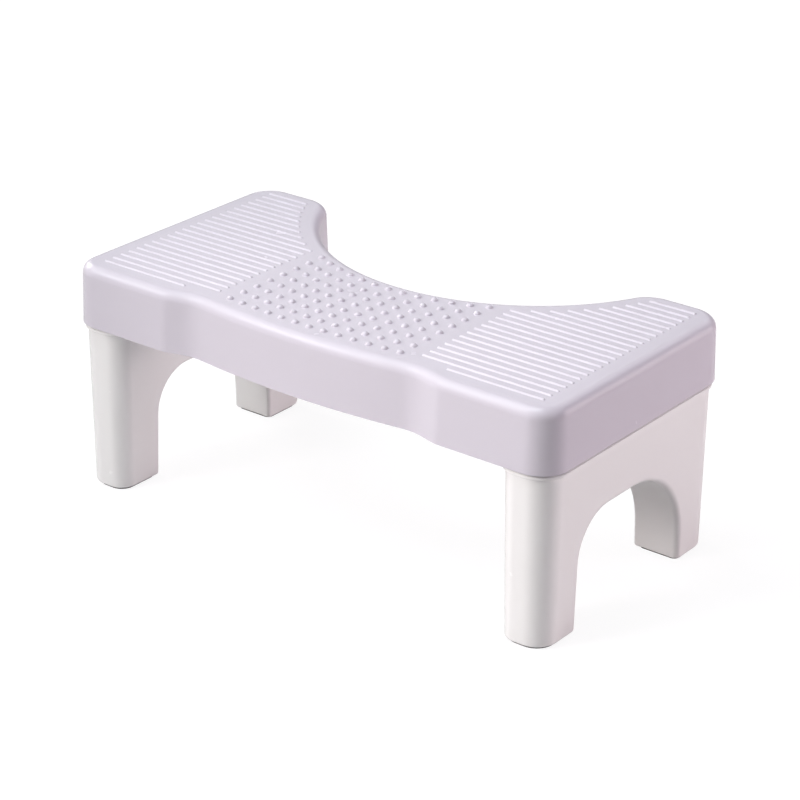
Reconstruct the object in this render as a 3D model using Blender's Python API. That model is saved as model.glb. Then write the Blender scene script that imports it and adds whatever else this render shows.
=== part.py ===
"""Toilet footstool: a moulded deck that plugs onto two arched leg frames with rubber foot pads.

Metres, +Z up. The origin is on the floor, under the middle of the stool. +X is the right end
and -Y is the front, the side that faces away from the toilet.
"""

from math import atan2, cos, hypot, pi, radians, sin, sqrt

import bmesh
import bpy
from mathutils import Matrix

# Deck: overall sizes
deck_length = 0.409
deck_depth = 0.2121
deck_height = 0.170
skirt_height = 0.044
skirt_wall = 0.003
skirt_lean = 0.0012
plate_thickness = 0.003
top_edge_radius = 0.0075
rim_edge_radius = 0.0009

# Deck: front edge, a bulge between two dips
bulge_radius = 0.640
end_setback = 0.0008
dip_radius = 0.025
shoulder_radius = 0.025
shoulder_x = 0.1198
flank_angle = radians(15.5)

# Deck: corners, horns and the cut-out that goes round the toilet
front_corner_radius = 0.021
back_corner_radius = 0.024
horn_radius = 0.026
horn_land = 0.0486
cutout_depth = 0.0965

# Tread ribs, in a block at each end of the deck
tread_pitch = 0.008
tread_width = 0.003
tread_height = 0.0014
tread_flank_share = 0.3
tread_crown_share = 0.5
tread_tip_share = 0.5
tread_front_margin = 0.0185
tread_back_margin = 0.0160
tread_side_margin = 0.017
tread_bend_margin = 0.0158
tread_nub_gap = 0.0124

# Massage nubs, in the middle of the deck
nub_columns = 13
nub_pitch = 0.0121
nub_radius = 0.0031
nub_height = 0.002
nub_flank_share = 0.25
nub_crown_share = 0.6
nub_sides = 8
nub_front_margin = 0.0173
nub_back_margin = 0.0144

# Stiffening under the deck
stiffener_wall = 0.0018
long_stiffener_depth = 0.018
cross_stiffener_depth = 0.015
long_stiffener_pitch = 0.035
cross_stiffener_pitch = 0.040
socket_wall = 0.0024

# Leg frames
frame_inset = 0.0033
frame_thickness = 0.0387
frame_lean = 0.0015
frame_splay = 0.001
frame_wall = 0.0026
frame_inner_corner_radius = 0.014
front_leg_depth = 0.0399
rear_leg_depth = 0.0427
arch_height = 0.080
arch_draft = radians(1.5)
arch_front_radius = 0.031
arch_crown = 0.0295
arch_outer_edge_radius = 0.0045
arch_inner_edge_radius = 0.002
foot_edge_radius = 0.0022
foot_plate = 0.0045
lip_inset = 0.0016
lip_height = 0.003
upstand_height = 0.022
web_wall = 0.002
web_spacing = 0.070

# Foot pads
pad_thickness = 0.0035
pad_stand = 0.0015
pad_inset = 0.0026
pad_corner_radius = 0.004
pad_edge = 0.0004

# Clearances, and how far a cutter runs past what it cuts
seat_gap = 0.0003
plug_clearance = 0.0004
overrun = 0.0006
same_point = 0.000001
crease_angle = radians(30)

# Colours and roughness
deck_colour = (0.66, 0.63, 0.71)
frame_colour = (0.78, 0.76, 0.77)
pad_colour = (0.07, 0.062, 0.065)
plastic_roughness = 0.3
rubber_roughness = 0.8

# Steps along the curves
bulge_steps = 4
dip_steps = 3
corner_steps = 6
cutout_steps = 10
fillet_steps = 4
arch_steps = 7
edge_steps = 3

# Places that follow from the sizes
half_length = deck_length / 2
front_y = -deck_depth / 2
back_y = deck_depth / 2
end_y = front_y + end_setback
rim_z = deck_height - skirt_height
bulge_centre = (0, front_y + bulge_radius)
horn_x = half_length - horn_land
horn_y = back_y - horn_radius
cutout_y = back_y - cutout_depth
horn_rise = horn_y - cutout_y
cutout_radius = ((horn_x ** 2 + horn_rise ** 2 - horn_radius ** 2)
                 / (2 * (horn_radius + horn_rise)))
cutout_centre = (0, cutout_y + cutout_radius)
lip_top_z = rim_z - seat_gap
lip_bottom_z = lip_top_z - lip_height
upstand_top_z = lip_top_z + upstand_height
frame_outer_x = half_length - frame_inset
frame_inner_x = frame_outer_x - frame_thickness
frame_front_y = end_y + frame_inset
frame_back_y = back_y - frame_inset
arch_front_y = frame_front_y + front_leg_depth
arch_rear_y = frame_back_y - rear_leg_depth
arch_run = ((arch_rear_y - arch_front_y - arch_crown) * cos(arch_draft)
            - 2 * arch_height * sin(arch_draft))
arch_rear_radius = arch_run / (1 - sin(arch_draft)) - arch_front_radius
foot_floor_z = pad_stand + foot_plate
plate_under_z = deck_height - plate_thickness
inner_edge_radius = top_edge_radius - plate_thickness
skirt_inner_top_z = plate_under_z - inner_edge_radius
upstand_inset = skirt_wall + plug_clearance - frame_inset
upstand_lean = skirt_lean * upstand_height / (skirt_inner_top_z - rim_z)
socket_face_x = frame_inner_x + upstand_inset - plug_clearance
socket_back_x = socket_face_x - socket_wall
tread_first_y = end_y + tread_front_margin
tread_count = int((back_y - tread_back_margin - tread_first_y) / tread_pitch) + 1
tread_outer_x = half_length - tread_side_margin
tread_inner_x = (nub_columns - 1) / 2 * nub_pitch + tread_nub_gap
nub_field = cutout_y - nub_back_margin - front_y - nub_front_margin
nub_rows = round(nub_field / nub_pitch) + 1


def clear_scene():
    for thing in list(bpy.data.objects):
        bpy.data.objects.remove(thing, do_unlink=True)


def plastic(name, colour, roughness):
    material = bpy.data.materials.new(name)
    material.use_nodes = True
    shader = material.node_tree.nodes["Principled BSDF"]
    shader.inputs["Base Color"].default_value = (*colour, 1)
    shader.inputs["Roughness"].default_value = roughness
    shader.inputs["Metallic"].default_value = 0
    return material


# Outlines

def turn(centre, radius, start, stop, steps, bulges=True):
    """A bend of an outline: bulges is False where the bend is hollow."""
    return {"centre": centre, "radius": radius, "start": start, "stop": stop,
            "steps": steps, "bulges": bulges}


def mirrored(bend):
    x, y = bend["centre"]
    return {**bend, "centre": (-x, y), "start": pi - bend["stop"], "stop": pi - bend["start"]}


def trace(bends, inset=0):
    """The outline's points, moved inwards by inset. Straight edges join the bends."""
    points = []
    for bend in bends:
        radius = bend["radius"] - inset if bend["bulges"] else bend["radius"] + inset
        for step in range(bend["steps"] + 1):
            angle = bend["start"] + (bend["stop"] - bend["start"]) * step / bend["steps"]
            x = bend["centre"][0] + radius * cos(angle)
            y = bend["centre"][1] + radius * sin(angle)
            points.append((x, y))
    return [p for i, p in enumerate(points)
            if hypot(p[0] - points[i - 1][0], p[1] - points[i - 1][1]) > same_point]


def dip_centre():
    """The dip's bend touches the bulge on one side and a straight flank on the other."""
    shoulder = (shoulder_x, end_y + shoulder_radius)
    both = shoulder_radius + dip_radius
    near_x = shoulder[0] - both * sin(flank_angle)
    near_y = shoulder[1] - both * cos(flank_angle)
    reach = bulge_radius + dip_radius
    gap_x = near_x - bulge_centre[0]
    gap_y = near_y - bulge_centre[1]
    along = gap_x * cos(flank_angle) - gap_y * sin(flank_angle)
    flank = along - sqrt(along ** 2 - (gap_x ** 2 + gap_y ** 2 - reach ** 2))
    return (near_x - flank * cos(flank_angle), near_y + flank * sin(flank_angle))


def deck_bends():
    """The deck's outline at its lower rim, anticlockwise from the middle of the front."""
    dip = dip_centre()
    bulge_end = atan2(dip[1] - bulge_centre[1], dip[0] - bulge_centre[0])
    horn_angle = atan2(horn_y - cutout_centre[1], horn_x)
    right = [
        turn(bulge_centre, bulge_radius, -pi / 2, bulge_end, bulge_steps),
        turn(dip, dip_radius, bulge_end + pi, pi / 2 - flank_angle, dip_steps, bulges=False),
        turn((shoulder_x, end_y + shoulder_radius), shoulder_radius,
             -pi / 2 - flank_angle, -pi / 2, dip_steps),
        turn((half_length - front_corner_radius, end_y + front_corner_radius),
             front_corner_radius, -pi / 2, 0, corner_steps),
        turn((half_length - back_corner_radius, back_y - back_corner_radius),
             back_corner_radius, 0, pi / 2, corner_steps),
        turn((horn_x, horn_y), horn_radius, pi / 2, pi + horn_angle, corner_steps),
        turn(cutout_centre, cutout_radius, horn_angle, -pi / 2, cutout_steps, bulges=False),
    ]
    return right + [mirrored(bend) for bend in reversed(right)]


def box_bends(low, high, radii, steps):
    """A rounded rectangle, from its lowest corner round: one radius and step count a corner."""
    (x0, y0), (x1, y1) = low, high
    r0, r1, r2, r3 = radii
    return [
        turn((x0 + r0, y0 + r0), r0, -pi, -pi / 2, steps[0]),
        turn((x1 - r1, y0 + r1), r1, -pi / 2, 0, steps[1]),
        turn((x1 - r2, y1 - r2), r2, 0, pi / 2, steps[2]),
        turn((x0 + r3, y1 - r3), r3, pi / 2, pi, steps[3]),
    ]


def frame_bends():
    """The right leg frame's outline under its lip."""
    radii = (frame_inner_corner_radius, front_corner_radius - frame_inset,
             back_corner_radius - frame_inset, frame_inner_corner_radius)
    return box_bends((frame_inner_x, frame_front_y), (frame_outer_x, frame_back_y),
                     radii, [corner_steps] * 4)


def pad_bends(front):
    """The outline of one foot pad of the right leg frame, set in from the foot's walls."""
    inset = frame_lean + pad_inset
    low_x = frame_inner_x + frame_splay + inset
    high_x = frame_outer_x + frame_splay - inset
    inner = frame_inner_corner_radius - inset
    if front:
        radii = (inner, front_corner_radius - frame_inset - inset,
                 pad_corner_radius, pad_corner_radius)
        low_y, high_y = frame_front_y + inset, arch_front_y - pad_inset
    else:
        radii = (pad_corner_radius, pad_corner_radius,
                 back_corner_radius - frame_inset - inset, inner)
        low_y, high_y = arch_rear_y + pad_inset, frame_back_y - inset
    return box_bends((low_x, low_y), (high_x, high_y), radii, [corner_steps] * 4)


# Solids

def put(name, bm, material=None):
    """Turns a bmesh into an object. Without a material it only shapes another piece."""
    bmesh.ops.recalc_face_normals(bm, faces=bm.faces[:])
    mesh = bpy.data.meshes.new(name)
    bm.to_mesh(mesh)
    bm.free()
    mesh.shade_smooth()
    mesh.set_sharp_from_angle(angle=crease_angle)
    thing = bpy.data.objects.new(name, mesh)
    bpy.context.scene.collection.objects.link(thing)
    if material:
        mesh.materials.append(material)
    else:
        thing.hide_render = True
        thing.display_type = "WIRE"
    return thing


def loft_into(bm, rings):
    """Extrudes the first ring's edges from ring to ring and closes both ends with a face."""
    start = bm.faces.new([bm.verts.new(point) for point in rings[0]])
    corners = list(start.verts)
    edges = list(start.edges)
    for ring in rings[1:]:
        place = {tuple(v.co): i for i, v in enumerate(corners)}
        grown = bmesh.ops.extrude_edge_only(bm, edges=edges)["geom"]
        for v in [item for item in grown if isinstance(item, bmesh.types.BMVert)]:
            corners[place[tuple(v.co)]] = v
        for v, point in zip(corners, ring):
            v.co = point
        edges = [bm.edges.get(pair) for pair in zip(corners, corners[1:] + corners[:1])]
    bm.faces.new(corners)


def loft(name, rings, material=None):
    bm = bmesh.new()
    loft_into(bm, rings)
    return put(name, bm, material)


def level(bends, inset, z, side=1):
    """A ring at one height. A side of -1 mirrors it to the left end."""
    return [(side * x, y, z) for x, y in trace(bends, inset)]


def join(thing, other, operation):
    change = thing.modifiers.new(other.name, "BOOLEAN")
    change.operation = operation
    change.solver = "EXACT"
    change.object = other


def seat(thing, place):
    """Puts the object's origin at a place without moving its surface."""
    thing.data.transform(Matrix.Translation(place).inverted())
    thing.location = place
    return thing


def box_into(bm, low, high):
    cube = bmesh.ops.create_cube(bm, size=1)["verts"]
    size = [h - l for l, h in zip(low, high)]
    middle = [(h + l) / 2 for l, h in zip(low, high)]
    bmesh.ops.scale(bm, vec=size, verts=cube)
    bmesh.ops.translate(bm, vec=middle, verts=cube)


# Deck

def deck_shell(material):
    """From the ceiling's edge down the inside, round the rim, up the outside and over the top."""
    bends = deck_bends()
    rings = []
    for step in range(fillet_steps, -1, -1):
        angle = pi / 2 * step / fillet_steps
        inset = skirt_wall + skirt_lean + inner_edge_radius * (1 - cos(angle))
        rings.append(level(bends, inset, skirt_inner_top_z + inner_edge_radius * sin(angle)))
    rings.append(level(bends, skirt_wall, rim_z))
    rings.append(level(bends, rim_edge_radius, rim_z))
    rings.append(level(bends, 0, rim_z + rim_edge_radius))
    for step in range(fillet_steps + 1):
        angle = pi / 2 * step / fillet_steps
        inset = skirt_lean + top_edge_radius * (1 - cos(angle))
        rings.append(level(bends, inset, deck_height - top_edge_radius * (1 - sin(angle))))
    return loft("deck", rings, material)


def evenly(limit, pitch):
    """Places at an even pitch on both sides of zero, at least half a pitch from the limit."""
    last = int(limit / pitch - 1 / 2)
    return [i * pitch for i in range(-last, last + 1)]


def stiffeners():
    """Crossed ribs under the plate, and the wall that closes the socket of each leg frame."""
    plate_middle_z = deck_height - plate_thickness / 2
    along = bmesh.new()
    for y in evenly(back_y, long_stiffener_pitch):
        box_into(along, (-socket_back_x - overrun, y - stiffener_wall / 2,
                         plate_under_z - long_stiffener_depth),
                 (socket_back_x + overrun, y + stiffener_wall / 2, plate_middle_z))
    across = bmesh.new()
    for x in evenly(socket_back_x, cross_stiffener_pitch):
        box_into(across, (x - stiffener_wall / 2, front_y,
                          plate_under_z - cross_stiffener_depth),
                 (x + stiffener_wall / 2, back_y, plate_middle_z + overrun))
    for side in (-1, 1):
        low_x, high_x = sorted((side * socket_back_x, side * socket_face_x))
        box_into(across, (low_x, front_y, rim_z + rim_edge_radius),
                 (high_x, back_y, plate_middle_z + overrun))
    grid = put("stiffeners", along)
    join(grid, put("cross_stiffeners", across), "UNION")
    bends = deck_bends()
    half_skirt = skirt_wall / 2
    room = loft("stiffener_room", [level(bends, half_skirt, rim_z),
                                   level(bends, half_skirt + skirt_lean, skirt_inner_top_z),
                                   level(bends, half_skirt + skirt_lean + inner_edge_radius,
                                         plate_middle_z)])
    join(grid, room, "INTERSECT")
    return grid


def tread_spans():
    """Both ends of each tread rib of the right block, clear of the cut-out and of the dip."""
    spans = []
    edge = [p for p in trace(deck_bends(), tread_bend_margin) if 0 < p[0] < shoulder_x]
    for i in range(tread_count):
        y = tread_first_y + i * tread_pitch
        inner = tread_inner_x
        drop = cutout_centre[1] - y
        reach = cutout_radius + tread_bend_margin
        if drop < reach:
            inner = max(inner, sqrt(reach ** 2 - drop ** 2))
        for (x0, y0), (x1, y1) in zip(edge, edge[1:]):
            if y1 < y <= y0 < 0:
                inner = max(inner, x0 + (x1 - x0) * (y - y0) / (y1 - y0))
        spans.append((inner, tread_outer_x, y))
    return spans


def tread_into(bm, x0, x1, y):
    """A low rib whose ends come down in a slope."""
    def section(x, share):
        half = tread_width / 2 * share
        crown = half * tread_crown_share
        flank_z = deck_height + tread_height * tread_flank_share
        top_z = flank_z + tread_height * (1 - tread_flank_share) * share
        return [(x, y - half, deck_height - overrun), (x, y - half, flank_z),
                (x, y - crown, top_z), (x, y + crown, top_z),
                (x, y + half, flank_z), (x, y + half, deck_height - overrun)]
    tip = tread_width * tread_tip_share
    loft_into(bm, [section(x0, tread_tip_share), section(x0 + tip, 1),
                   section(x1 - tip, 1), section(x1, tread_tip_share)])


def nub_into(bm, x, y):
    """A low round nub with a sloped crown."""
    def ring(radius, z):
        angles = [2 * pi * i / nub_sides for i in range(nub_sides)]
        return [(x + radius * cos(a), y + radius * sin(a), z) for a in angles]
    loft_into(bm, [ring(nub_radius, deck_height - overrun),
                   ring(nub_radius, deck_height + nub_height * nub_flank_share),
                   ring(nub_radius * nub_crown_share, deck_height + nub_height)])


def nub_places():
    """The rows bend with the bulge at the front and with the cut-out at the back."""
    places = []
    for column in range(nub_columns):
        x = (column - (nub_columns - 1) / 2) * nub_pitch
        first_y = bulge_centre[1] - sqrt((bulge_radius - nub_front_margin) ** 2 - x ** 2)
        last_y = cutout_centre[1] - sqrt((cutout_radius + nub_back_margin) ** 2 - x ** 2)
        for row in range(nub_rows):
            places.append((x, first_y + (last_y - first_y) * row / (nub_rows - 1)))
    return places


def raised_pattern():
    bm = bmesh.new()
    for inner, outer, y in tread_spans():
        tread_into(bm, inner, outer, y)
        tread_into(bm, -outer, -inner, y)
    for x, y in nub_places():
        nub_into(bm, x, y)
    return put("raised_pattern", bm)


def make_deck(material):
    deck = deck_shell(material)
    join(deck, stiffeners(), "UNION")
    join(deck, raised_pattern(), "UNION")
    return seat(deck, (0, 0, rim_z))


# Leg frames

def lean_inset(z):
    """How far the frame's wall has come in at a height under the lip."""
    return frame_lean * (lip_bottom_z - z) / (lip_bottom_z - pad_stand)


def splay_at(z):
    """How far the frame stands out sideways at a height under the lip."""
    return frame_splay * (lip_bottom_z - z) / (lip_bottom_z - pad_stand)


def leaning(bends, inset, z, side):
    """A ring of the frame under its lip, leaning in and standing out for its height."""
    away = side * splay_at(z)
    return [(x + away, y, z) for x, y, z in level(bends, lean_inset(z) + inset, z, side)]


def arch_bends():
    """The arch's outline in Y and Z: its sides stand furthest apart at the floor."""
    edge = arch_inner_edge_radius

    def corner(foot_y, way, radius, centre_z, start, stop, steps):
        reach = (radius + centre_z * sin(arch_draft)) / cos(arch_draft)
        return turn((foot_y + way * reach, centre_z), radius, start, stop, steps)

    return [
        corner(arch_front_y, 1, edge, edge - arch_height, -pi - arch_draft, -pi / 2, 1),
        corner(arch_rear_y, -1, edge, edge - arch_height, -pi / 2, arch_draft, 1),
        corner(arch_rear_y, -1, arch_rear_radius, arch_height - arch_rear_radius,
               arch_draft, pi / 2, arch_steps),
        corner(arch_front_y, 1, arch_front_radius, arch_height - arch_front_radius,
               pi / 2, pi - arch_draft, arch_steps),
    ]


def arch_cutter(name, side, shell):
    """The space under the arch, widening at both ends where the arch's edge is rounded.

    With a shell the space is larger by that much all round, for the inside of the wall.
    """
    profile = arch_bends()

    def ring(depth, widening, outer):
        points = []
        for y, z in trace(profile, -widening):
            inset = lean_inset(z) + depth
            x = frame_outer_x - inset if outer else frame_inner_x + inset
            points.append((side * (x + splay_at(z)), y, z))
        return points

    def edge(radius, outer):
        rings = []
        for step in range(edge_steps + 1):
            angle = pi / 2 * step / edge_steps
            rings.append((shell + (radius - shell) * (1 - cos(angle)),
                          shell + (radius - shell) * (1 - sin(angle))))
        (depth0, wide0), (depth1, wide1) = rings[:2]
        slope = (wide0 - wide1) / (depth1 - depth0)
        past = [(depth0 - overrun, wide0 + slope * overrun)]
        return [ring(depth, wide, outer) for depth, wide in past + rings[1:]]

    return loft(name, edge(arch_outer_edge_radius, True)
                + edge(arch_inner_edge_radius, False)[::-1])


def frame_hollow(name, side):
    """The inside of a leg frame: the wall offset inwards, less the arch and two webs."""
    bends = frame_bends()
    top_inset = upstand_inset + upstand_lean + frame_wall
    hollow = loft(name + "_hollow", [
        leaning(bends, frame_wall, foot_floor_z, side),
        level(bends, frame_wall, lip_bottom_z, side),
        level(bends, top_inset, upstand_top_z, side),
        level(bends, top_inset, upstand_top_z + overrun, side)])
    join(hollow, arch_cutter(name + "_arch_wall", side, frame_wall), "DIFFERENCE")
    webs = bmesh.new()
    low_x, high_x = sorted((side * frame_inner_x, side * frame_outer_x))
    for y in (-web_spacing / 2, web_spacing / 2):
        box_into(webs, (low_x, y - web_wall / 2, 0), (high_x, y + web_wall / 2, lip_bottom_z))
    join(hollow, put(name + "_webs", webs), "DIFFERENCE")
    return hollow


def make_frame(name, side, material):
    bends = frame_bends()
    lip = lip_inset - frame_inset
    rings = []
    for step in range(edge_steps + 1):
        angle = pi / 2 * step / edge_steps
        z = pad_stand + foot_edge_radius * (1 - cos(angle))
        rings.append(leaning(bends, foot_edge_radius * (1 - sin(angle)), z, side))
    rings.append(level(bends, 0, lip_bottom_z, side))
    rings.append(level(bends, lip, lip_bottom_z, side))
    rings.append(level(bends, lip, lip_top_z, side))
    rings.append(level(bends, upstand_inset, lip_top_z, side))
    rings.append(level(bends, upstand_inset + upstand_lean, upstand_top_z, side))
    frame = loft(name, rings, material)
    join(frame, arch_cutter(name + "_arch", side, 0), "DIFFERENCE")
    join(frame, frame_hollow(name, side), "DIFFERENCE")
    for front in (True, False):
        recess = name + ("_front_recess" if front else "_rear_recess")
        outline = pad_bends(front)
        cutter = loft(recess, [level(outline, -seat_gap, -overrun, side),
                               level(outline, -seat_gap, pad_thickness + seat_gap, side)])
        join(frame, cutter, "DIFFERENCE")
    return seat(frame, (side * (frame_inner_x + frame_outer_x) / 2, 0, 0))


# Foot pads

def make_pad(name, side, front, material):
    outline = pad_bends(front)
    rings = [level(outline, pad_edge, 0, side),
             level(outline, 0, pad_edge, side),
             level(outline, 0, pad_thickness, side)]
    middle_y = (frame_front_y + arch_front_y) / 2 if front else (arch_rear_y + frame_back_y) / 2
    middle_x = side * (frame_inner_x + frame_outer_x) / 2
    return seat(loft(name, rings, material), (middle_x, middle_y, 0))


def make_stool():
    deck_plastic = plastic("deck_plastic", deck_colour, plastic_roughness)
    frame_plastic = plastic("frame_plastic", frame_colour, plastic_roughness)
    pad_rubber = plastic("pad_rubber", pad_colour, rubber_roughness)
    pieces = [make_deck(deck_plastic)]
    for end, side in (("left", -1), ("right", 1)):
        pieces.append(make_frame(end + "_leg_frame", side, frame_plastic))
        pieces.append(make_pad(end + "_front_foot_pad", side, True, pad_rubber))
        pieces.append(make_pad(end + "_rear_foot_pad", side, False, pad_rubber))
    stool = bpy.data.objects.new("stool", None)
    bpy.context.scene.collection.objects.link(stool)
    for piece in pieces:
        piece.parent = stool


clear_scene()
make_stool()
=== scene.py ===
"""Toilet footstool: the looks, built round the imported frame.

The deck is one moulding with a ribbed tread at each end, rows of round nubs between them and a
cut-out at the back. It is pushed down onto two arched leg frames that stand on rubber pads.
Lengths are in metres, +Z up, the floor at z = 0 and the front edge of the deck towards -Y.
"""

from math import atan2, asin, cos, pi, radians, sin, sqrt, tan

import bmesh
import bpy
from mathutils import Matrix, Vector


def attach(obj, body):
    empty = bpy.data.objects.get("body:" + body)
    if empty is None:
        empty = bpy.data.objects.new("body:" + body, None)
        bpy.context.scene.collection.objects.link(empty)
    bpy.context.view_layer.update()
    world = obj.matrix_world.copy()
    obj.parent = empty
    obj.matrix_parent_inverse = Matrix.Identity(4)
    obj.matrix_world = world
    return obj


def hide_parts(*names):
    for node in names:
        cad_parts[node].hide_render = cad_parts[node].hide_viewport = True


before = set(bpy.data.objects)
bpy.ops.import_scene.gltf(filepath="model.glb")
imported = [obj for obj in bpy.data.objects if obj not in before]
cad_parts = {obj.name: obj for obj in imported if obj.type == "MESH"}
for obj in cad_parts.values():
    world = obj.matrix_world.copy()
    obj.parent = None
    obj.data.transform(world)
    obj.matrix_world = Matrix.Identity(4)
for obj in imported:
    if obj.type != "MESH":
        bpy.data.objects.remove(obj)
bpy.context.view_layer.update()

MM = 0.001

# The deck's plate and skirt
HALF_LENGTH = 204.5 * MM
FRONT_Y = -106.05 * MM
END_Y = -105.25 * MM
BACK_Y = 106.05 * MM
TOP_Z = 170 * MM
RIM_Z = 126 * MM
SKIRT_WALL = 3 * MM
SKIRT_LEAN = 1.2 * MM
TOP_EDGE = 7.5 * MM
RIM_EDGE = 0.5 * MM

# The deck's outline: a bulge, a dip, a shoulder, a corner at each end, a horn and the cut-out
BULGE_R = 640 * MM
BULGE_CENTRE = (0, FRONT_Y + BULGE_R)
DIP_R = 45 * MM
DIP_FLANK = radians(15.5)
SHOULDER_R = 25 * MM
SHOULDER_X = 119.8 * MM
FRONT_CORNER_R = 21 * MM
BACK_CORNER_R = 24 * MM
HORN_R = 26 * MM
CUTOUT_R = 148.2 * MM
CUTOUT_DEPTH = 96.5 * MM
CUTOUT_CENTRE = (0, BACK_Y - CUTOUT_DEPTH + CUTOUT_R)

# The stiffening under the deck
STIFFENER_HALF_WALL = 0.9 * MM
CROSS_STIFFENER_PITCH = 40 * MM
CROSS_STIFFENER_Z = 152 * MM
LONG_STIFFENER_PITCH = 35 * MM
LONG_STIFFENER_Z = 149 * MM
LONG_STIFFENER_END_X = 160.6 * MM
SOCKET_NEAR_X = 159.8 * MM
SOCKET_FAR_X = 162.2 * MM
SOCKET_Z = RIM_Z + 0.9 * MM
INSIDE_DOME = 6.4 * MM
INSIDE_DOME_DRAW = 4.5 * MM

# The raised tread
TREAD_RIBS = 23
TREAD_PITCH = 8 * MM
TREAD_FRONT_GAP = 18.5 * MM
TREAD_CUTOUT_GAP = 15.8 * MM
TREAD_NEAR_X = 85 * MM
TREAD_FAR_X = 187.5 * MM
FRONT_RIB_NEAR_X = 110.5 * MM
RIB_HALF_WIDTH = 1.5 * MM
RIB_FORM = {"crown": 0.5 * MM, "flank": radians(46), "height": MM, "fillet": 0.25 * MM,
            "steps": 12}
NUB_ROWS = 8
NUB_COLUMNS = 13
NUB_PITCH = 12.1 * MM
NUB_FRONT_GAP = 17.3 * MM
NUB_CUTOUT_GAP = 14.4 * MM
NUB_FORM = {"crown": 2.6 * MM, "flank": radians(72), "height": 2.03 * MM, "fillet": 0.2 * MM,
            "steps": 16}
RIB_END_SHARE = 0.5
CROWN_TIP = radians(6)
TREAD_SUNK = 0.03 * MM

# The leg frames
LEG_OUTER_X = 201.2 * MM
LEG_INNER_X = 162.5 * MM
LEG_FRONT_Y = -101.95 * MM
LEG_BACK_Y = 102.75 * MM
LEG_INNER_R = 14 * MM
LEG_FRONT_R = 17.7 * MM
LEG_BACK_R = 20.7 * MM
LEG_LEAN = 1.5 * MM
LEG_SPLAY = 1 * MM
LEG_WALL = 2.6 * MM
FOOT_Z = 1.5 * MM
FOOT_EDGE = 2 * MM
FOOT_PLATE_Z = 6 * MM
WEB_Y = 35 * MM
WEB_HALF_WALL = 1 * MM

# The arch of a leg frame
ARCH_FRONT_Y = -62.05 * MM
ARCH_REAR_Y = 60.05 * MM
ARCH_TOP_Z = 80 * MM
ARCH_DRAFT = radians(1.5)
ARCH_FRONT_R = 31 * MM
ARCH_REAR_R = 59.8 * MM
ARCH_OUTER_EDGE = 4.5 * MM
ARCH_INNER_EDGE = 2.8 * MM
ARCH_LOW_R = 3 * MM

# The lip under the deck's rim and the upstand that plugs into the deck
LIP_Z = 122 * MM
LIP_TOP_Z = 124.4 * MM
UPSTAND_Z = 147.7 * MM
UPSTAND_DRAW = 0.8 * MM
LIP_INNER_CUT_SHARE = 0.8
LIP_OUTER_GAIN_SHARE = 0.5

# How far up and how far out each step of the lip, the groove behind it and the upstand goes
LIP_STEPS = (
    (0, 1.4 * MM), (0.3 * MM, 0.3 * MM), (LIP_TOP_Z - LIP_Z - MM, 0), (0.4 * MM, -0.2 * MM),
    (0.3 * MM, -0.4 * MM), (-0.9 * MM, -1.2 * MM),
    (UPSTAND_Z - LIP_TOP_Z + 0.3 * MM, -0.7 * MM), (0.6 * MM, -0.5 * MM))

# The foot pads
PAD_TOP_Z = 3.5 * MM
PAD_GAP = 0.3 * MM
PAD_EDGE = 0.4 * MM
PAD_INNER_INSET = 5.1 * MM
PAD_OUTER_INSET = 3.1 * MM
PAD_END_INSET = 4.1 * MM
PAD_ARCH_INSET = 2.6 * MM
PAD_ARCH_R = 4 * MM

# Each foot's name, the front and the back of its pad, and the pad's corner radii
FEET = (
    ("front", LEG_FRONT_Y + PAD_END_INSET, ARCH_FRONT_Y - PAD_ARCH_INSET,
     (LEG_INNER_R - PAD_END_INSET, LEG_FRONT_R - PAD_END_INSET, PAD_ARCH_R, PAD_ARCH_R)),
    ("rear", ARCH_REAR_Y + PAD_ARCH_INSET, LEG_BACK_Y - PAD_END_INSET,
     (PAD_ARCH_R, PAD_ARCH_R, LEG_BACK_R - PAD_END_INSET, LEG_INNER_R - PAD_END_INSET)),
)

# Tolerances, how far a cutter runs past what it cuts, and what keeps faces out of one plane
SAME_POINT = 0.001 * MM
TOUCHING = 0.01 * MM
OVERRUN = 1 * MM
STAGGER = 0.4 * MM

# The normal's Z under which a face looks down, and the angle over which an edge stays sharp
LOOKS_DOWN = -0.9
CREASE = radians(32)


# Drawing outlines

def bend(centre, radius, start, stop, steps):
    """One rounded stretch of an outline, from a start angle to a stop angle."""
    return {"centre": Vector((*centre, 0)), "radius": radius, "start": start, "stop": stop,
            "steps": steps}


def draw(bm, bends, closed=True):
    """Spins the outline's last point round each bend and joins the bends with straight edges."""
    tip = None
    for turn in bends:
        way = Vector((cos(turn["start"]), sin(turn["start"]), 0))
        first = turn["centre"] + turn["radius"] * way
        if tip is None:
            tip = bm.verts.new(first)
        else:
            tip = bmesh.ops.extrude_vert_indiv(bm, verts=[tip])["verts"][0]
            tip.co = first
        turned = bmesh.ops.spin(bm, geom=[tip], cent=turn["centre"], axis=(0, 0, 1),
                                angle=turn["stop"] - turn["start"], steps=turn["steps"])
        tip = last_point(turned)
    bm.verts.ensure_lookup_table()
    if closed:
        bm.edges.new((tip, bm.verts[0]))
    bmesh.ops.remove_doubles(bm, verts=bm.verts, dist=SAME_POINT)


def last_point(turned):
    """The point that a spin ended at."""
    return next(g for g in turned["geom_last"] if isinstance(g, bmesh.types.BMVert))


def outline_face(bm):
    """Fills the drawn outline with one face that looks up."""
    face = bmesh.ops.contextual_create(bm, geom=bm.edges[:])["faces"][0]
    face.normal_update()
    if face.normal.z < 0:
        face.normal_flip()
    return face


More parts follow.
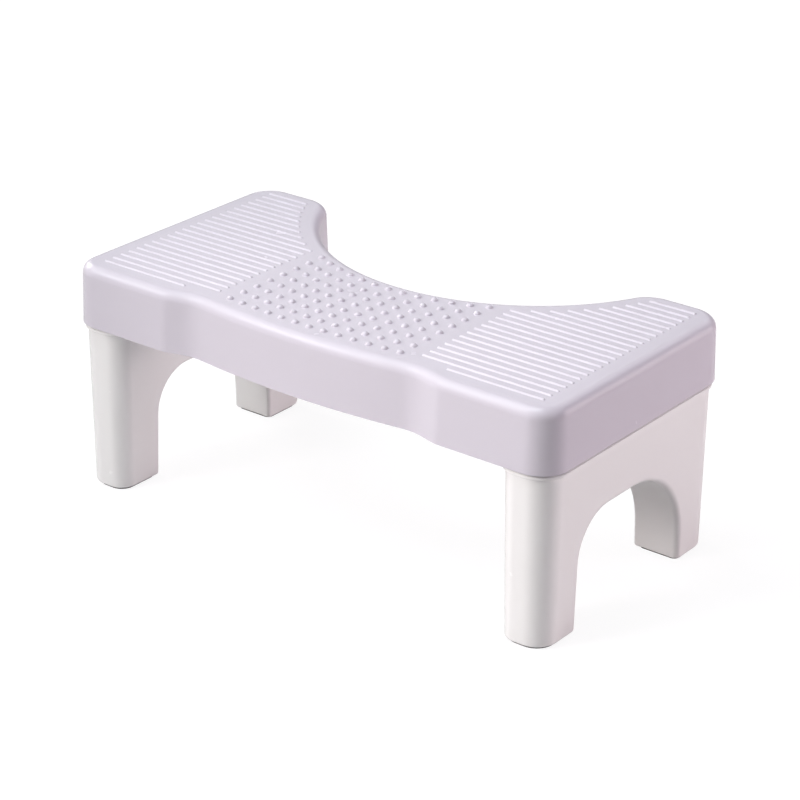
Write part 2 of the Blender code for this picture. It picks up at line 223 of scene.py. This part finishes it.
def widen(face, distance):
    """Moves a face's outline outwards in its own plane, by the same distance all round."""
    face.normal_update()
    corners = list(face.verts)
    moves = []
    for i, v in enumerate(corners):
        back = (v.co - corners[i - 1].co).normalized().cross(face.normal)
        ahead = (corners[(i + 1) % len(corners)].co - v.co).normalized().cross(face.normal)
        moves.append((back + ahead) * distance / (1 + back.dot(ahead)))
    for v, move in zip(corners, moves):
        v.co += move


def grow(bm, face, step, wider=0.0):
    """Extrudes a face by a step and widens its far end. The very first face stays as the back."""
    first = all(e.is_boundary for e in face.edges)
    grown = bmesh.ops.extrude_face_region(bm, geom=[face])["geom"]
    end = next(g for g in grown if isinstance(g, bmesh.types.BMFace))
    if not first:
        bmesh.ops.delete(bm, geom=[face], context="FACES_ONLY")
    bmesh.ops.translate(bm, vec=step, verts=list(end.verts))
    if wider:
        widen(end, wider)
    return end


def close(bm):
    """Merges doubles, fills open ends and turns the faces outwards."""
    bmesh.ops.remove_doubles(bm, verts=bm.verts, dist=SAME_POINT / 2)
    bmesh.ops.holes_fill(bm, edges=[e for e in bm.edges if e.is_boundary], sides=0)
    bmesh.ops.recalc_face_normals(bm, faces=bm.faces)


def soften(bm, edges, radius, segments):
    """Rounds edges."""
    bmesh.ops.bevel(bm, geom=edges, offset=radius, offset_type="OFFSET", segments=segments,
                    profile=0.5, affect="EDGES", clamp_overlap=True, material=-1)


def block_into(bm, low, high):
    """Adds a block between two opposite corners."""
    verts = bmesh.ops.create_cube(bm, size=1)["verts"]
    low, high = Vector(low), Vector(high)
    bmesh.ops.scale(bm, vec=high - low, verts=verts)
    bmesh.ops.translate(bm, vec=(high + low) / 2, verts=verts)


# Making and joining pieces

def shape(name, bm):
    """Makes an object of a finished bmesh."""
    mesh = bpy.data.meshes.new(name)
    bm.to_mesh(mesh)
    bm.free()
    piece = bpy.data.objects.new(name, mesh)
    bpy.context.scene.collection.objects.link(piece)
    return piece


def combine(piece, tool, operation):
    """A Boolean with another shape, applied at once. The other shape is used up."""
    change = piece.modifiers.new(tool.name, "BOOLEAN")
    change.operation = operation
    change.solver = "EXACT"
    change.object = tool
    settle(piece)
    mesh = tool.data
    bpy.data.objects.remove(tool)
    bpy.data.meshes.remove(mesh)
    return piece


def settle(piece):
    """Applies the modifiers."""
    done = bpy.data.meshes.new_from_object(
        piece.evaluated_get(bpy.context.evaluated_depsgraph_get()))
    old = piece.data
    piece.modifiers.clear()
    piece.data = done
    bpy.data.meshes.remove(old)
    done.name = piece.name


def mirror_copy(piece, name):
    """The same piece for the other end of the stool."""
    mesh = piece.data.copy()
    mesh.name = name
    mesh.transform(Matrix.Scale(-1, 4, (1, 0, 0)))
    mesh.flip_normals()
    other = bpy.data.objects.new(name, mesh)
    bpy.context.scene.collection.objects.link(other)
    return other


def finish_surface(piece, material):
    """Smooth shading that keeps flat faces flat and sharp edges sharp."""
    piece.data.materials.clear()
    piece.data.materials.append(material)
    piece.data.shade_smooth()
    piece.data.set_sharp_from_angle(angle=CREASE)
    weighted = piece.modifiers.new("weighted_normals", "WEIGHTED_NORMAL")
    weighted.keep_sharp = True
    weighted.weight = 100


# The deck

def deck_outline(bm):
    """Draws the right half, from the middle of the front round to the cut-out, and mirrors it."""
    shoulder = (SHOULDER_X, END_Y + SHOULDER_R)
    apart = SHOULDER_R + DIP_R
    # The dip's centre slides along the straight flank until its round meets the bulge's
    near = (shoulder[0] - apart * sin(DIP_FLANK), shoulder[1] - apart * cos(DIP_FLANK))
    gap = (near[0] - BULGE_CENTRE[0], near[1] - BULGE_CENTRE[1])
    along = gap[0] * cos(DIP_FLANK) - gap[1] * sin(DIP_FLANK)
    run = along - sqrt(along ** 2 - (gap[0] ** 2 + gap[1] ** 2 - (BULGE_R + DIP_R) ** 2))
    dip = (near[0] - run * cos(DIP_FLANK), near[1] + run * sin(DIP_FLANK))
    bulge_end = atan2(dip[1] - BULGE_CENTRE[1], dip[0] - BULGE_CENTRE[0])
    drop = CUTOUT_CENTRE[1] - (BACK_Y - HORN_R)
    horn = (sqrt((CUTOUT_R + HORN_R) ** 2 - drop ** 2), BACK_Y - HORN_R)
    horn_end = -asin(drop / (CUTOUT_R + HORN_R))
    front_corner = (HALF_LENGTH - FRONT_CORNER_R, END_Y + FRONT_CORNER_R)
    back_corner = (HALF_LENGTH - BACK_CORNER_R, BACK_Y - BACK_CORNER_R)
    draw(bm, [
        bend(BULGE_CENTRE, BULGE_R, -pi / 2, bulge_end, steps=14),
        bend(dip, DIP_R, bulge_end + pi, pi / 2 - DIP_FLANK, steps=12),
        bend(shoulder, SHOULDER_R, -pi / 2 - DIP_FLANK, -pi / 2, steps=6),
        bend(front_corner, FRONT_CORNER_R, -pi / 2, 0, steps=18),
        bend(back_corner, BACK_CORNER_R, 0, pi / 2, steps=18),
        bend(horn, HORN_R, pi / 2, pi + horn_end, steps=20),
        bend(CUTOUT_CENTRE, CUTOUT_R, horn_end, -pi / 2, steps=32),
    ], closed=False)
    bmesh.ops.mirror(bm, geom=bm.verts[:] + bm.edges[:], axis="X", merge_dist=TOUCHING)
    bmesh.ops.remove_doubles(bm, verts=bm.verts, dist=TOUCHING)


def deck_shell():
    """The plate with its rounded top edge and the skirt that hangs from it all round."""
    bm = bmesh.new()
    deck_outline(bm)
    bmesh.ops.translate(bm, vec=(0, 0, RIM_Z), verts=bm.verts)
    height = TOP_Z - RIM_Z
    mouth = outline_face(bm)
    top = grow(bm, mouth, (0, 0, height), -SKIRT_LEAN * height / (height - TOP_EDGE))
    bmesh.ops.delete(bm, geom=[mouth], context="FACES_ONLY")
    soften(bm, list(top.edges), TOP_EDGE, segments=10)
    bmesh.ops.recalc_face_normals(bm, faces=bm.faces)
    bmesh.ops.solidify(bm, geom=bm.faces[:], thickness=SKIRT_WALL)
    flatten_rim(bm)
    return shape("deck_moulding", bm)


def flatten_rim(bm):
    """Brings the skirt's inner rim level with the outer one and rounds both."""
    low = [v for v in bm.verts if v.co.z < RIM_Z + OVERRUN]
    for v in low:
        v.co.z = RIM_Z
    rim = {e for v in low for e in v.link_edges if e.other_vert(v).co.z == RIM_Z}
    lengthwise = [e for e in rim if any(f.normal.z > LOOKS_DOWN for f in e.link_faces)]
    soften(bm, lengthwise, RIM_EDGE, segments=3)


def stiffeners():
    """Crossed stiffening ribs, and the wall that closes the socket of each leg frame."""
    bm = bmesh.new()
    half, mid_z = STIFFENER_HALF_WALL, TOP_Z - SKIRT_WALL / 2
    for x in (i * CROSS_STIFFENER_PITCH for i in range(-3, 4)):
        block_into(bm, (x - half, FRONT_Y, CROSS_STIFFENER_Z), (x + half, BACK_Y, mid_z))
    for side in (-1, 1):
        x0, x1 = sorted((side * SOCKET_NEAR_X, side * SOCKET_FAR_X))
        block_into(bm, (x0, FRONT_Y, SOCKET_Z), (x1, BACK_Y, mid_z))
    cross = shape("cross_stiffeners", bm)
    bm = bmesh.new()
    for y in (i * LONG_STIFFENER_PITCH for i in range(-2, 3)):
        block_into(bm, (-LONG_STIFFENER_END_X, y - half, LONG_STIFFENER_Z),
                   (LONG_STIFFENER_END_X, y + half, mid_z - STAGGER))
    combine(cross, shape("long_stiffeners", bm), "UNION")
    return combine(cross, deck_inside(), "INTERSECT")


def deck_inside():
    """The room that the stiffening may fill, which reaches into the plate and the skirt."""
    bm = bmesh.new()
    deck_outline(bm)
    bmesh.ops.translate(bm, vec=(0, 0, RIM_Z), verts=bm.verts)
    face = outline_face(bm)
    widen(face, -SKIRT_WALL / 2)
    face = grow(bm, face, (0, 0, TOP_Z - TOP_EDGE - RIM_Z), -SKIRT_LEAN)
    grow(bm, face, (0, 0, INSIDE_DOME), -INSIDE_DOME_DRAW)
    close(bm)
    return shape("deck_inside", bm)


# The raised tread: nubs, and ribs that are nubs drawn out lengthwise

def bump_into(bm, place, crown, flank, height, fillet, steps, length=0.0):
    """A foot fillet, a straight flank and a round crown, turned and drawn out along X."""
    rise = height - (crown + fillet) * (1 - cos(flank))
    foot_x = (crown + fillet) * sin(flank) + rise / tan(flank)
    own = bmesh.new()
    tip = own.verts.new((foot_x, 0, 0))
    tip = last_point(bmesh.ops.spin(own, geom=[tip], cent=(foot_x, 0, fillet), axis=(0, -1, 0),
                                    angle=-flank, steps=2))
    tip = bmesh.ops.extrude_vert_indiv(own, verts=[tip])["verts"][0]
    bmesh.ops.translate(own, vec=(-rise / tan(flank), 0, rise), verts=[tip])
    bmesh.ops.spin(own, geom=[tip], cent=(0, 0, height - crown), axis=(0, -1, 0),
                   angle=flank - CROWN_TIP, steps=5)
    bmesh.ops.spin(own, geom=own.verts[:] + own.edges[:], cent=(0, 0, 0), axis=(0, 0, 1),
                   angle=2 * pi, steps=steps, use_merge=True)
    bmesh.ops.rotate(own, verts=own.verts, cent=(0, 0, 0),
                     matrix=Matrix.Rotation(pi / steps, 3, "Z"))
    if length:
        bmesh.ops.scale(own, vec=(RIB_END_SHARE, 1, 1), verts=own.verts)
    for v in own.verts:
        v.co.x += length / 2 if v.co.x > 0 else -length / 2
    close(own)
    bmesh.ops.translate(own, vec=place, verts=own.verts)
    mesh = bpy.data.meshes.new("bump")
    own.to_mesh(mesh)
    own.free()
    bm.from_mesh(mesh)
    bpy.data.meshes.remove(mesh)


def tread_starts():
    """The inner end and the Y of each rib of the right block, from the front to the back."""
    starts = []
    reach = CUTOUT_R + TREAD_CUTOUT_GAP
    for row in range(TREAD_RIBS):
        y = END_Y + TREAD_FRONT_GAP + row * TREAD_PITCH
        near = TREAD_NEAR_X if row else FRONT_RIB_NEAR_X
        drop = CUTOUT_CENTRE[1] - y
        if drop < reach:
            near = max(near, sqrt(reach ** 2 - drop ** 2))
        starts.append((near, y))
    return starts


def nub_places():
    """The rows bend with the bulge at the front and with the cut-out at the back."""
    places = []
    for column in range(NUB_COLUMNS):
        x = (column - NUB_COLUMNS // 2) * NUB_PITCH
        first = BULGE_CENTRE[1] - sqrt((BULGE_R - NUB_FRONT_GAP) ** 2 - x ** 2)
        last = CUTOUT_CENTRE[1] - sqrt((CUTOUT_R + NUB_CUTOUT_GAP) ** 2 - x ** 2)
        places += [(x, first + (last - first) * row / (NUB_ROWS - 1)) for row in range(NUB_ROWS)]
    return places


def raised_tread():
    """All ribs and nubs, sunk a little into the plate that they are joined to."""
    bm = bmesh.new()
    foot_z = TOP_Z - TREAD_SUNK
    for near, y in tread_starts():
        length = TREAD_FAR_X - near - 2 * RIB_HALF_WIDTH
        for side in (-1, 1):
            place = (side * (near + TREAD_FAR_X) / 2, y, foot_z)
            bump_into(bm, place, length=length, **RIB_FORM)
    for x, y in nub_places():
        bump_into(bm, (x, y, foot_z), **NUB_FORM)
    return shape("raised_tread", bm)


# The leg frames

def box_outline(bm, low, high, radii, steps):
    """A rounded rectangle, drawn from its lowest corner round, one radius for each corner."""
    (x0, y0), (x1, y1) = low, high
    r0, r1, r2, r3 = radii
    draw(bm, [
        bend((x0 + r0, y0 + r0), r0, -pi, -pi / 2, steps[0]),
        bend((x1 - r1, y0 + r1), r1, -pi / 2, 0, steps[1]),
        bend((x1 - r2, y1 - r2), r2, 0, pi / 2, steps[2]),
        bend((x0 + r3, y1 - r3), r3, pi / 2, pi, steps[3]),
    ])


def leg_outline(bm):
    """The frame seen from above, at the lip."""
    box_outline(bm, (LEG_INNER_X, LEG_FRONT_Y), (LEG_OUTER_X, LEG_BACK_Y),
                (LEG_INNER_R, LEG_FRONT_R, LEG_BACK_R, LEG_INNER_R), steps=(16, 18, 18, 16))


def lean_at(z):
    """How far the sides have drawn in at a height under the lip."""
    return LEG_LEAN * (LIP_Z - z) / (LIP_Z - FOOT_Z)


def splay(bm):
    """Moves what is under the lip outwards, the more the lower it is."""
    for v in bm.verts:
        v.co.x += LEG_SPLAY * max(0, (LIP_Z - v.co.z) / (LIP_Z - FOOT_Z))


def arch_outline(bm):
    """The arch on its side, with height along X. Its flanks stand furthest apart at the floor."""
    def corner(foot_y, way, radius, centre_z, start, stop, steps):
        reach = (radius + centre_z * sin(ARCH_DRAFT)) / cos(ARCH_DRAFT)
        return bend((centre_z, foot_y + way * reach), radius, start, stop, steps)

    low_z = ARCH_LOW_R - ARCH_TOP_Z
    side = pi / 2 - ARCH_DRAFT
    draw(bm, [
        corner(ARCH_FRONT_Y, 1, ARCH_LOW_R, low_z, -pi, -side, steps=2),
        corner(ARCH_FRONT_Y, 1, ARCH_FRONT_R, ARCH_TOP_Z - ARCH_FRONT_R, -side, 0, steps=22),
        corner(ARCH_REAR_Y, -1, ARCH_REAR_R, ARCH_TOP_Z - ARCH_REAR_R, 0, side, steps=30),
        corner(ARCH_REAR_Y, -1, ARCH_LOW_R, low_z, side, pi, steps=2),
    ])


def arch_space(name, shell=0.0):
    """The space under the arch, or with a shell that much more. Its ends widen at the edges."""
    bm = bmesh.new()
    arch_outline(bm)
    near_face = outline_face(bm)
    widen(near_face, shell)
    near, far = LEG_INNER_X + ARCH_INNER_EDGE, LEG_OUTER_X - ARCH_OUTER_EDGE
    bmesh.ops.translate(bm, vec=(0, 0, near), verts=bm.verts)
    far_face = grow(bm, near_face, (0, 0, far - near))
    flare(bm, far_face, ARCH_OUTER_EDGE - shell, 1)
    flare(bm, near_face, ARCH_INNER_EDGE - shell, -1)
    upright = Matrix(((0, 0, 1, 0), (0, 1, 0, 0), (1, 0, 0, 0), (0, 0, 0, 1)))
    bmesh.ops.transform(bm, matrix=upright, verts=bm.verts)
    middle = (LEG_INNER_X + LEG_OUTER_X) / 2
    for v in bm.verts:
        v.co.x += lean_at(v.co.z) if v.co.x < middle else -lean_at(v.co.z)
    splay(bm)
    bmesh.ops.recalc_face_normals(bm, faces=bm.faces)
    return shape(name, bm)


def flare(bm, face, radius, way, steps=8, overshoot=3):
    """Carries a face outwards round a quarter circle and then on past the wall that it cuts."""
    at, wide = 0.0, 0.0
    for step in range(1, steps + 1):
        angle = pi / 2 * step / steps
        run, rise = radius * sin(angle) - at, radius * (1 - cos(angle)) - wide
        if step == steps:
            run, rise = run * overshoot, rise * overshoot
        face = grow(bm, face, (0, 0, way * run), rise)
        at, wide = radius * sin(angle), radius * (1 - cos(angle))


def leg_frame(name):
    """The right leg frame: a leaning hollow box with a lip and an upstand, cut by the arch."""
    bm = bmesh.new()
    leg_outline(bm)
    bmesh.ops.translate(bm, vec=(0, 0, FOOT_Z), verts=bm.verts)
    face = outline_face(bm)
    widen(face, -LEG_LEAN)
    face = grow(bm, face, (0, 0, LIP_Z - FOOT_Z), LEG_LEAN)
    for rise, wider in LIP_STEPS:
        face = grow(bm, face, (0, 0, rise), wider)
    shift_lip(bm)
    splay(bm)
    close(bm)
    leg = shape(name, bm)
    combine(leg, arch_space(name + "_arch"), "DIFFERENCE")
    round_feet(leg)
    combine(leg, leg_hollow(name), "DIFFERENCE")
    for end, y0, y1, radii in FEET:
        recess = pad_body(name + "_" + end + "_recess", y0, y1, radii, -OVERRUN,
                          PAD_TOP_Z + PAD_GAP, wider=PAD_GAP)
        combine(leg, recess, "DIFFERENCE")
    return leg


def shift_lip(bm):
    """Draws the lip back on the inner side, under the deck, and out on the side that shows."""
    for v in bm.verts:
        if v.co.z > LIP_Z - TOUCHING:
            inner, outer = v.co.x - LEG_INNER_X, v.co.x - LEG_OUTER_X
            v.co.x -= LIP_INNER_CUT_SHARE * min(inner, 0)
            v.co.x += LIP_OUTER_GAIN_SHARE * max(outer, 0)


def round_feet(leg):
    """Rounds the bottom edges of both feet, all the way round."""
    bm = bmesh.new()
    bm.from_mesh(leg.data)
    low = [e for e in bm.edges if all(abs(v.co.z - FOOT_Z) < TOUCHING for v in e.verts)]
    outer = [e for e in low if min(f.normal.z for f in e.link_faces) < LOOKS_DOWN
             < max(f.normal.z for f in e.link_faces)]
    soften(bm, outer, FOOT_EDGE, segments=7)
    bm.to_mesh(leg.data)
    bm.free()


def leg_hollow(name):
    """The inside of the frame, open at the top and stiffened by two webs over the arch."""
    bm = bmesh.new()
    leg_outline(bm)
    bmesh.ops.translate(bm, vec=(0, 0, FOOT_PLATE_Z), verts=bm.verts)
    face = outline_face(bm)
    widen(face, -LEG_WALL - lean_at(FOOT_PLATE_Z))
    face = grow(bm, face, (0, 0, LIP_Z - FOOT_PLATE_Z), lean_at(FOOT_PLATE_Z))
    face = grow(bm, face, (0, 0, UPSTAND_Z - LIP_Z), -UPSTAND_DRAW)
    grow(bm, face, (0, 0, OVERRUN))
    splay(bm)
    close(bm)
    hollow = shape(name + "_hollow", bm)
    combine(hollow, arch_space(name + "_arch_wall", LEG_WALL), "DIFFERENCE")
    bm = bmesh.new()
    for y in (-WEB_Y, WEB_Y):
        block_into(bm, (LEG_INNER_X, y - WEB_HALF_WALL, 0), (LEG_OUTER_X, y + WEB_HALF_WALL, LIP_Z))
    return combine(hollow, shape(name + "_webs", bm), "DIFFERENCE")


def pad_body(name, y0, y1, radii, low_z, high_z, wider=0.0, edge=0.0):
    """A foot pad's block, or when it is made wider the recess that it sits in."""
    bm = bmesh.new()
    box_outline(bm, (LEG_INNER_X + PAD_INNER_INSET, y0), (LEG_OUTER_X - PAD_OUTER_INSET, y1),
                radii, steps=(8, 10, 10, 8))
    bmesh.ops.translate(bm, vec=(0, 0, low_z), verts=bm.verts)
    face = outline_face(bm)
    widen(face, wider)
    if edge:
        small, large = 0.3 * edge, 0.7 * edge
        widen(face, -edge)
        face = grow(bm, face, (0, 0, small), large)
        face = grow(bm, face, (0, 0, large), small)
    grow(bm, face, (0, 0, high_z - low_z - edge))
    close(bm)
    return shape(name, bm)


# Materials

# How much deeper the slow waves of a moulded surface are than its fine grain
WAVE_DEPTH = 6


def value(node, socket, amount):
    """Sets an input of a node."""
    node.inputs[socket].default_value = amount


def noise(nodes, place, link, scale, detail):
    """A noise texture on the piece's own coordinates. Without a scale, one is linked later."""
    texture = nodes.new("ShaderNodeTexNoise")
    value(texture, "Detail", detail)
    if scale:
        value(texture, "Scale", scale)
    link(place.outputs["Object"], texture.inputs["Vector"])
    return texture


def moulded_surface_group():
    """Moulded plastic: faint flow mottling, uneven gloss and a fine moulded grain."""
    group = bpy.data.node_groups.new("moulded_surface", "ShaderNodeTree")
    sockets = group.interface
    for name, kind, default in (("Colour", "NodeSocketColor", (0.8, 0.8, 0.8, 1)),
                                ("Shade", "NodeSocketColor", (0.7, 0.7, 0.7, 1)),
                                ("Mottle", "NodeSocketFloat", 0.3),
                                ("Roughness", "NodeSocketFloat", 0.35),
                                ("Gloss spread", "NodeSocketFloat", 0.08),
                                ("Grain size", "NodeSocketFloat", 1600.0)):
        socket = sockets.new_socket(name, in_out="INPUT", socket_type=kind)
        socket.default_value = default
    for name, kind in (("Colour", "NodeSocketColor"), ("Roughness", "NodeSocketFloat"),
                       ("Height", "NodeSocketFloat")):
        sockets.new_socket(name, in_out="OUTPUT", socket_type=kind)
    nodes, link = group.nodes, group.links.new
    given, out = nodes.new("NodeGroupInput"), nodes.new("NodeGroupOutput")
    place = nodes.new("ShaderNodeTexCoord")

    flow = noise(nodes, place, link, scale=14, detail=4)
    value(flow, "Roughness", 0.55)
    amount = nodes.new("ShaderNodeMath")
    amount.operation = "MULTIPLY"
    link(flow.outputs["Fac"], amount.inputs[0])
    link(given.outputs["Mottle"], amount.inputs[1])
    tint = nodes.new("ShaderNodeMix")
    tint.data_type = "RGBA"
    link(amount.outputs[0], tint.inputs["Factor"])
    link(given.outputs["Colour"], tint.inputs["A"])
    link(given.outputs["Shade"], tint.inputs["B"])
    link(tint.outputs["Result"], out.inputs["Colour"])

    smear = noise(nodes, place, link, scale=55, detail=3)
    centred = nodes.new("ShaderNodeMath")
    centred.operation = "SUBTRACT"
    value(centred, 1, 0.5)
    link(smear.outputs["Fac"], centred.inputs[0])
    spread = nodes.new("ShaderNodeMath")
    spread.operation = "MULTIPLY_ADD"
    link(centred.outputs[0], spread.inputs[0])
    link(given.outputs["Gloss spread"], spread.inputs[1])
    link(given.outputs["Roughness"], spread.inputs[2])
    link(spread.outputs[0], out.inputs["Roughness"])

    grain = noise(nodes, place, link, scale=None, detail=2)
    link(given.outputs["Grain size"], grain.inputs["Scale"])
    wave = noise(nodes, place, link, scale=22, detail=1)
    both = nodes.new("ShaderNodeMath")
    both.operation = "MULTIPLY_ADD"
    value(both, 1, WAVE_DEPTH)
    link(wave.outputs["Fac"], both.inputs[0])
    link(grain.outputs["Fac"], both.inputs[2])
    link(both.outputs[0], out.inputs["Height"])
    return group


def moulded(name, group, colour, shade, roughness, mottle, spread, grain, relief, ior):
    """A material with the moulded surface. The relief is the depth of its grain."""
    material = bpy.data.materials.new(name)
    material.use_nodes = True
    nodes, link = material.node_tree.nodes, material.node_tree.links.new
    shader = nodes["Principled BSDF"]
    value(shader, "IOR", ior)
    value(shader, "Metallic", 0)
    surface = nodes.new("ShaderNodeGroup")
    surface.node_tree = group
    value(surface, "Colour", (*colour, 1))
    value(surface, "Shade", (*shade, 1))
    value(surface, "Mottle", mottle)
    value(surface, "Roughness", roughness)
    value(surface, "Gloss spread", spread)
    value(surface, "Grain size", grain)
    bump = nodes.new("ShaderNodeBump")
    value(bump, "Strength", 1)
    value(bump, "Distance", relief)
    link(surface.outputs["Height"], bump.inputs["Height"])
    link(surface.outputs["Colour"], shader.inputs["Base Color"])
    link(surface.outputs["Roughness"], shader.inputs["Roughness"])
    link(bump.outputs["Normal"], shader.inputs["Normal"])
    return material


# The stool

moulded_surface = moulded_surface_group()
plastic = {"roughness": 0.25, "mottle": 0.35, "spread": 0.10, "grain": 1500,
           "relief": 0.004 * MM, "ior": 1.49}
lilac_plastic = moulded("lilac_plastic", moulded_surface, (0.665, 0.622, 0.695),
                        (0.625, 0.583, 0.656), **plastic)
white_plastic = moulded("white_plastic", moulded_surface, (0.912, 0.898, 0.9),
                        (0.872, 0.853, 0.857), **plastic)
grey_rubber = moulded("grey_rubber", moulded_surface, (0.085, 0.072, 0.074),
                      (0.05, 0.044, 0.046), roughness=0.72, mottle=0.8, spread=0.15, grain=900,
                      relief=0.02 * MM, ior=1.5)

deck = deck_shell()
combine(deck, stiffeners(), "UNION")
combine(deck, raised_tread(), "UNION")
finish_surface(deck, lilac_plastic)
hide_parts("deck")
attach(deck, "deck")

right_leg = leg_frame("right_frame_moulding")
left_leg = mirror_copy(right_leg, "left_frame_moulding")
for side, leg in (("left", left_leg), ("right", right_leg)):
    finish_surface(leg, white_plastic)
    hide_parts(side + "_leg_frame")
    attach(leg, "leg_frames")

for end, y0, y1, radii in FEET:
    right_pad = pad_body("right_" + end + "_pad", y0, y1, radii, 0, PAD_TOP_Z, edge=PAD_EDGE)
    left_pad = mirror_copy(right_pad, "left_" + end + "_pad")
    for side, pad in (("left", left_pad), ("right", right_pad)):
        finish_surface(pad, grey_rubber)
        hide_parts(side + "_" + end + "_foot_pad")
        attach(pad, "leg_frames")


# Floor, light and camera

STOOL_MIDDLE = (0, 0, 0.1)
FLOOR_REACH = 30
FLOOR_GAP = 0.05 * MM
CAMERA_PLACE = (0.9691, -1.24625, 0.8076)
CAMERA_TURN = (radians(65.4439), radians(-0.4613), radians(37.8692))


def floor_material():
    """White to the camera but for the stool's shadow, a plain pale floor to the light.

    The glow rises to full white away from the stool, where the lamps no longer reach.
    """
    material = bpy.data.materials.new("pale_floor")
    material.use_nodes = True
    material.cycles.emission_sampling = "NONE"
    nodes, link = material.node_tree.nodes, material.node_tree.links.new
    plain = nodes["Principled BSDF"]
    value(plain, "Base Color", (0.62, 0.62, 0.62, 1))
    value(plain, "Roughness", 0.9)
    value(plain, "Specular IOR Level", 0.1)
    shaded = nodes.new("ShaderNodeBsdfDiffuse")
    value(shaded, "Color", (0.16, 0.15, 0.16, 1))
    glow = nodes.new("ShaderNodeEmission")
    reach = nodes.new("ShaderNodeVectorMath")
    reach.operation = "LENGTH"
    link(nodes.new("ShaderNodeTexCoord").outputs["Object"], reach.inputs[0])
    whiten = nodes.new("ShaderNodeMapRange")
    value(whiten, "From Min", 0.5)
    value(whiten, "From Max", 2)
    value(whiten, "To Min", 0.9)
    value(whiten, "To Max", 1)
    link(reach.outputs["Value"], whiten.inputs["Value"])
    link(whiten.outputs["Result"], glow.inputs["Strength"])
    both = nodes.new("ShaderNodeAddShader")
    link(shaded.outputs[0], both.inputs[0])
    link(glow.outputs[0], both.inputs[1])
    seen = by_camera_ray(nodes, link, plain, both)
    under = nodes.new("ShaderNodeMixShader")
    link(nodes.new("ShaderNodeNewGeometry").outputs["Backfacing"], under.inputs["Fac"])
    link(seen.outputs[0], under.inputs[1])
    link(nodes.new("ShaderNodeBsdfTransparent").outputs[0], under.inputs[2])
    link(under.outputs[0], nodes["Material Output"].inputs["Surface"])
    return material


def by_camera_ray(nodes, link, lit, seen):
    """One shader for the light and another for the camera."""
    pick = nodes.new("ShaderNodeMixShader")
    link(nodes.new("ShaderNodeLightPath").outputs["Is Camera Ray"], pick.inputs["Fac"])
    link(lit.outputs[0], pick.inputs[1])
    link(seen.outputs[0], pick.inputs[2])
    return pick


def lay_floor():
    """A wide floor just under the pads."""
    bm = bmesh.new()
    bmesh.ops.create_grid(bm, x_segments=1, y_segments=1, size=FLOOR_REACH)
    bmesh.ops.translate(bm, vec=(0, 0, -FLOOR_GAP), verts=bm.verts)
    floor = shape("floor", bm)
    floor.data.materials.append(floor_material())


def light_studio():
    """A nearly dark room whose backdrop looks white to the camera."""
    world = bpy.data.worlds.new("studio")
    bpy.context.scene.world = world
    world.use_nodes = True
    world.cycles.sampling_method = "NONE"
    nodes, link = world.node_tree.nodes, world.node_tree.links.new
    room = nodes["Background"]
    value(room, "Color", (1, 0.985, 0.99, 1))
    value(room, "Strength", 0.01)
    backdrop = nodes.new("ShaderNodeBackground")
    value(backdrop, "Color", (1, 1, 1, 1))
    value(backdrop, "Strength", 1)
    seen = by_camera_ray(nodes, link, room, backdrop)
    link(seen.outputs[0], nodes["World Output"].inputs["Surface"])


def hang(light, place, aim, glint):
    """Hangs a light and turns it to the point it is aimed at. Glint lets it show in the gloss."""
    holder = bpy.data.objects.new(light.name, light)
    bpy.context.scene.collection.objects.link(holder)
    holder.visible_glossy = glint
    holder.location = place
    holder.rotation_euler = (Vector(aim) - Vector(place)).to_track_quat("-Z", "Y").to_euler()


def soft_box(name, place, size, power, colour, glint=True):
    """A rectangular lamp that faces the middle of the stool."""
    light = bpy.data.lights.new(name, "AREA")
    light.shape = "RECTANGLE"
    light.size, light.size_y = size
    light.energy = power
    light.color = colour
    hang(light, place, STOOL_MIDDLE, glint)


def snooted_lamp(name, place, aim, radius, angle, power, colour):
    """A soft lamp whose light fades towards the edge of its cone."""
    light = bpy.data.lights.new(name, "SPOT")
    light.shadow_soft_size = radius
    light.spot_size = angle
    light.spot_blend = 1
    light.energy = power
    light.color = colour
    hang(light, place, aim, glint=False)


def set_camera():
    """The photograph's view, from the front right and a little above."""
    camera = bpy.data.cameras.new("photo_view")
    camera.lens = 112.35
    camera.sensor_width = 36
    camera.shift_y = -0.0009
    camera.clip_end = 100
    holder = bpy.data.objects.new("photo_view", camera)
    bpy.context.scene.collection.objects.link(holder)
    holder.location = CAMERA_PLACE
    holder.rotation_euler = CAMERA_TURN
    bpy.context.scene.camera = holder


lay_floor()
light_studio()
soft_box("upper_front_lamp", (0.2, -1.0, 1.9), (1.6, 0.8), 6.05, (0.908, 0.91, 1))
soft_box("top_lamp", (-0.2, -0.2, 1.6), (0.8, 0.8), 9.13, (0.874, 0.964, 1))
soft_box("upper_left_lamp", (-0.9, -0.4, 1.7), (1.6, 1.6), 5.62, (0.97, 1, 0.99))
soft_box("key_lamp", (-2.4, -2.0, 3.0), (1.6, 1.6), 30.7, (0.954, 1, 0.992))
soft_box("left_lamp", (-2.0, 0.4, 1.0), (0.9, 0.9), 13.8, (1, 0.949, 0.908))
soft_box("left_back_lamp", (-1.2, 1.6, 0.9), (1.0, 0.6), 1.14, (1, 0.992, 0.997))
soft_box("back_lamp", (0, 2.3, 1.6), (1.6, 1.2), 5.08, (1, 0.98, 0.974))
soft_box("right_lamp", (1.55, 1.55, 0.5), (1.3, 0.9), 7.5, (1, 0.929, 0.92))
soft_box("right_fill", (1.9, 1.3, 0.35), (1.0, 0.5), 24.4, (1, 0.849, 0.9), glint=False)
snooted_lamp("front_fill", (-0.6, -1.3, 0.9), aim=(0.32, -0.05, 0.1), radius=0.25,
             angle=radians(50), power=81, colour=(1, 0.943, 0.918))
set_camera()
bpy.context.scene.view_settings.view_transform = "Standard"

bpy.context.view_layer.update()
